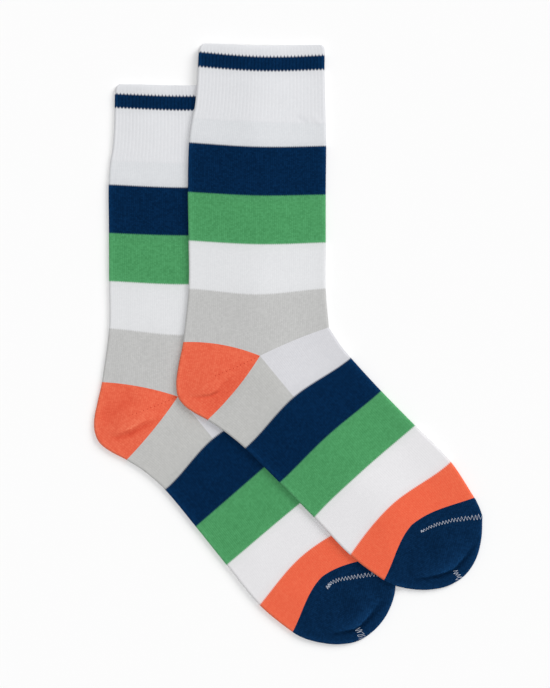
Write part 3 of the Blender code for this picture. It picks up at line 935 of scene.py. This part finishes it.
def striped(tree, knit, stripes, side_colour):
    """The yarn's colour, in light that has a little of the colours around it."""
    colour = stripes[0][1]
    if side_colour:
        from_front = tree.math("ABSOLUTE", tree.math("SUBTRACT", knit.needle, NEEDLES / 2))
        on_instep = tree.math("LESS_THAN", from_front, NEEDLES / 4)
        colour = tree.mix(on_instep, colour, side_colour)
    around = colour
    for start, next_colour in stripes[1:]:
        past = tree.ramp(knit.lean, start - 0.5 - FUZZY_EDGE, start - 0.5 + FUZZY_EDGE)
        colour = tree.mix(past, colour, next_colour)
        past = tree.ramp(knit.course, start - GLOW_REACH, start + GLOW_REACH, kind="SMOOTHSTEP")
        around = tree.mix(past, around, next_colour)
    other = tree.vector("SUBTRACT", around, colour)
    return tree.vector("MULTIPLY", colour, tree.vector("MULTIPLY_ADD", other, (GLOW,) * 3, ONE))


CREVICE = 0.4  # how much of the light is lost in the deepest crevice between yarns
PALE_RELIEF = 0.27  # how much of its relief shows in white yarn
# How much the yarn's tone changes at random from stitch to stitch, from wale to wale, over
# patches of cloth, over a few stitches and among fibres, and how fine each is.
SPECKS = 0.36
STREAKS, STREAK_SCALE, STREAK_STRETCH = 0.12, 0.9, 0.06
CLOUDS, CLOUD_SCALE = 0.10, 60.0
MOTTLES, MOTTLE_SCALE = 0.3, 420.0
FUZZ, FUZZ_SCALE = 0.5, 2600.0


def yarn_light(tree, knit, dark, fuzz, uneven):
    """Painted shade in the crevices between the stitches, and the yarn's tone that changes at
    random.  Light shines through pale yarn, so there less of both shows.
    """
    cell = tree.joined(knit.wale, knit.number)
    speck = tree.node("TexWhiteNoise", {"Vector": cell}, noise_dimensions="2D")[0]
    wale = tree.joined(knit.wale, tree.times(knit.course, STREAK_STRETCH))
    place = tree.place()
    lit = tree.line(knit.height, CREVICE, 1 - CREVICE)
    for value, amount in (
        (speck, SPECKS * uneven),
        (tree.noise(wale, STREAK_SCALE, 1.0, noise_dimensions="2D"), STREAKS),
        (tree.noise(place, CLOUD_SCALE), CLOUDS),
        (tree.noise(place, MOTTLE_SCALE, 1.0), MOTTLES * uneven),
        (fuzz, FUZZ),
    ):
        lit = tree.times(lit, tree.line(value, amount, 1 - amount / 2))
    relief = tree.line(tree.squared(dark), 1 - PALE_RELIEF, PALE_RELIEF)
    return tree.line(tree.math("SUBTRACT", lit, 1.0), relief, 1.0)


FOLD_SHEEN = 0.8  # how much paler dark yarn is painted along a fold's edge and a crease's ridge: painted sheen
RIM_SHEEN = 0.65  # and how much paler any yarn is painted at the very rim of the back fold: a painted highlight
RIM_POWER = 4.6  # how much narrower that painted rim is than the painted sheen along the fold
RIM_SHADE = 0.2  # how much of the light is lost in pale yarn along the front fold
TROUGH_SHADE = 0.37  # and at the foot of a crease


def fold_light(tree, knit, dark):
    """The painted sheen along folds and ridges, and painted shade in troughs and, on pale yarn,
    along the front fold.
    """
    fold, trough, _ = tree.uv("folds")
    turn = tree.math("COSINE", tree.times(knit.needle, 2 * math.pi / NEEDLES))
    at_back = tree.line(turn, 0.5, 0.5)
    painted_sheen = tree.line(fold, tree.times(tree.math("POWER", dark, 3.5), FOLD_SHEEN), 1.0)
    rim = tree.times(tree.math("POWER", fold, RIM_POWER), at_back)
    pale = tree.squared(tree.less(dark))
    at_front = tree.times(tree.squared(fold), tree.less(at_back), pale)
    return tree.times(
        tree.line(rim, RIM_SHEEN, painted_sheen),
        tree.line(at_front, -RIM_SHADE, 1.0),
        tree.line(trough, -TROUGH_SHADE, 1.0),
    )


RIB_SHADE = 0.36  # how much of the light is lost deep between ribs of dark yarn
RIB_LINE = 0.12  # and along the last course of the ribs
RIB_LINE_WIDTH = 1.5


def rib_light(tree, knit, dark, ribs_end):
    """The light on ribs and between them.  The ribs die out towards the course where they
    end, in a faint line."""
    rib = tree.math("COSINE", tree.times(knit.needle, math.pi))
    left = tree.less(knit.course, float(ribs_end))
    shade = tree.times(rib, tree.squared(dark), tree.ramp(left, 0.0, RIB_FADE))
    last = tree.ramp(left, 0.0, RIB_LINE_WIDTH, low=1 - RIB_LINE)
    return tree.times(tree.line(shade, RIB_SHADE / 2, 1.0), last)


HOLE_PITCH = 2.8
HOLE_RADIUS = 0.42
HOLE_SHADE = 0.7  # how much of the light is lost in a hole
HOLE_DEPTH = 1.5  # of a yarn's height
HOLES_REACH = 37.5
HOLES_BEND = 0.0009  # how much their line bends towards the leg, per mm


def gore_holes(tree):
    """The small holes where the heel's short rows turn, as a mask."""
    along, across, _ = tree.uv("mitre")
    across = tree.line(tree.squared(along), -HOLES_BEND, across)
    step = tree.math("FRACT", tree.math("DIVIDE", along, HOLE_PITCH))
    near = tree.times(tree.math("SUBTRACT", step, 0.5), HOLE_PITCH)
    gap = tree.math("SQRT", tree.math("ADD", tree.squared(near), tree.squared(across)))
    hole = tree.ramp(gap, HOLE_RADIUS * 0.4, HOLE_RADIUS * 1.3, 1.0, 0.0, kind="SMOOTHSTEP")
    return tree.times(hole, tree.math("LESS_THAN", along, HOLES_REACH))


SPREAD = 0.8  # how much steep cloth is lit as if it were flatter, by light within its fibres


def spread_normal(tree):
    """The cloth's normal, less tilted where the cloth is steep."""
    x, y, z = tree.parts(tree.node("NewGeometry")["Normal"])
    steep = tree.less(tree.squared(z))
    kept = tree.less(tree.times(steep, steep, SPREAD))
    return tree.vector("NORMALIZE", tree.joined(tree.times(x, kept), tree.times(y, kept), z))


def bounced(tree, colour, lit):
    """The look of yarn where only the share lit of the light comes in.  Light bounces on
    between the yarns around, so pale yarn loses less of it."""
    lost = tree.scaled(colour, tree.math("SUBTRACT", lit, 1.0))
    return tree.vector("DIVIDE", tree.scaled(colour, lit), tree.vector("ADD", lost, ONE))


LUMA = (0.3, 0.6, 0.1)  # how bright light of each colour looks
YARN_RELIEF, THREAD_RELIEF = 0.0003, 0.0002  # metres
TWIST_SCALE = 3000.0


def knit_material(
    name, stripes, side_colour=None, ribs_end=None, holes=False, bump=0.4, uneven=1.0
):
    """Knitted cloth.  stripes are pairs of a course and the colour from there on, side_colour
    changes the first stripe on the instep half, and ribs_end is the course where ribs end."""
    tree = Tree(name)
    knit = stitches(tree, RIB_TEETH if ribs_end else 0.0)
    colour = striped(tree, knit, stripes, side_colour)
    luma = {0: colour, 1: LUMA}
    dark = tree.less(tree.node("VectorMath", luma, operation="DOT_PRODUCT")["Value"])
    fuzz = tree.noise(tree.place(), FUZZ_SCALE)
    lit = tree.times(yarn_light(tree, knit, dark, fuzz, uneven), fold_light(tree, knit, dark))
    if ribs_end:
        lit = tree.times(lit, rib_light(tree, knit, dark, ribs_end))
    height = tree.line(fuzz, 0.5, knit.height)
    if holes:
        hole = gore_holes(tree)
        lit = tree.times(lit, tree.line(hole, -HOLE_SHADE, 1.0))
        height = tree.line(hole, -HOLE_DEPTH, height)
    height = tree.times(height, tree.line(dark, 0.85, 0.15))
    relief = {"Strength": bump, "Distance": YARN_RELIEF, "Height": height}
    relief["Normal"] = spread_normal(tree)
    return tree.surface({
        "Base Color": bounced(tree, colour, lit),
        "Normal": tree.node("Bump", relief)[0],
        "Roughness": 1.0,
        "Specular IOR Level": 0.0,
        "Sheen Weight": 0.05,
        "Sheen Roughness": 0.3,
    })


def thread_material():
    tree = Tree("seam_thread")
    twist = tree.noise(tree.place(), TWIST_SCALE, 1.0)
    relief = {"Strength": 0.5, "Distance": THREAD_RELIEF, "Height": twist}
    return tree.surface({
        "Base Color": tree.scaled(THREAD, tree.line(twist, 0.5, 0.75)),
        "Normal": tree.node("Bump", relief)[0],
        "Roughness": 0.7,
        "Sheen Weight": 0.2,
    })


# -------- building the pair
def build(sock, lift, thread, seed):
    leg_counts = knit_counts(sock.leg)
    foot_counts = knit_counts(sock.foot + sock.toe)
    cuff_stripes = [(0, WHITE), (leg_counts[2], NAVY), (leg_counts[3], WHITE)]
    leg_stripes = zip(leg_counts[RIB_END:-1], (COOL_WHITE, NAVY, GREEN, LEG_WHITE, LEG_GREY))
    foot_stripes = zip([0, *foot_counts[2:6]], (GREY, NAVY, GREEN, FOOT_WHITE, CORAL))
    looks = {
        "cuff": dict(stripes=cuff_stripes, ribs_end=leg_counts[RIB_END], bump=0.3),
        "leg": dict(stripes=list(leg_stripes), uneven=1.2),
        "heel": dict(stripes=[(0, HEEL_CORAL)], holes=True, uneven=1.6),
        "foot": dict(stripes=list(foot_stripes), side_colour=SHADED_WHITE),
        "toe": dict(stripes=[(0, TOE_NAVY)], uneven=1.15),
    }
    makers = make_cuff, make_leg, make_heel, make_foot, make_toe
    pieces = {section: make(sock, lift) for section, make in zip(looks, makers)}
    for section, piece in pieces.items():
        node = f"{sock.name}_{section}"
        piece.data.materials.append(knit_material(node, **looks[section]))
        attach(piece, "root")
        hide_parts(node)
    yarn = make_thread(sock, pieces["toe"], seed)
    yarn.data.materials.append(thread)
    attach(yarn, "root")
    return list(pieces.values())


FLOOR_SIZE = 8.0  # metres
FLOOR_DROP = 0.00005  # below the socks
FLOOR_WHITE = 0.903
FLOOR_MOTTLE, MOTTLE_FINENESS = 0.004, 9.0


def make_floor():
    bpy.ops.mesh.primitive_plane_add(size=FLOOR_SIZE, location=(0, 0, -FLOOR_DROP))
    floor = bpy.context.object
    floor.name = "floor"
    tree = Tree("floor")
    shade = tree.line(tree.noise(tree.place(), MOTTLE_FINENESS), FLOOR_MOTTLE, FLOOR_WHITE)
    look = {"Base Color": tree.scaled(ONE, shade), "Roughness": 1.0, "Specular IOR Level": 0.0}
    floor.data.materials.append(tree.surface(look))


# -------- light and camera
VIEW_CENTRE = (-0.0096, 0.0)
VIEW_HEIGHT = 0.4954  # of the floor that the frame shows, top to bottom
EYE_HEIGHT = 3.0
SENSOR = 36.0


def make_camera():
    data = bpy.data.cameras.new("camera")
    data.sensor_fit = "VERTICAL"
    data.sensor_height = SENSOR
    data.lens = SENSOR * EYE_HEIGHT / VIEW_HEIGHT
    camera = new_object("camera", data)
    camera.location = (*VIEW_CENTRE, EYE_HEIGHT)
    bpy.context.scene.camera = camera


def make_sun(name, strength, softness, towards):
    """A soft light from far away.  softness is how wide it looks, in degrees, and towards
    the direction in which it stands."""
    data = bpy.data.lights.new(name, "SUN")
    data.energy = strength * math.pi
    data.angle = math.radians(softness)
    sun = new_object(name, data)
    sun.rotation_euler = (-Vector(towards)).to_track_quat("-Z", "Y").to_euler()


WORLD_LIGHT = 0.265
# The strength, width and direction of the two soft lights.
OVERHEAD = 0.488, 30.0, (0.0, 0.0, 1.0)
KEY = 0.585, 34.0, (0.635, 0.54, 0.56)


def make_lights():
    world = bpy.data.worlds.new("studio")
    world.use_nodes = True
    back = world.node_tree.nodes["Background"]
    back.inputs["Color"].default_value = (*ONE, 1.0)
    back.inputs["Strength"].default_value = WORLD_LIGHT
    bpy.context.scene.world = world
    make_sun("overhead", *OVERHEAD)
    make_sun("key", *KEY)
    bpy.context.scene.view_settings.view_transform = "Standard"


make_camera()
make_lights()
make_floor()
thread = thread_material()
beneath = build(UNDER_SOCK, on_floor, thread, seed=11)
build(TOP_SOCK, over(UNDER_SOCK), thread, seed=23)
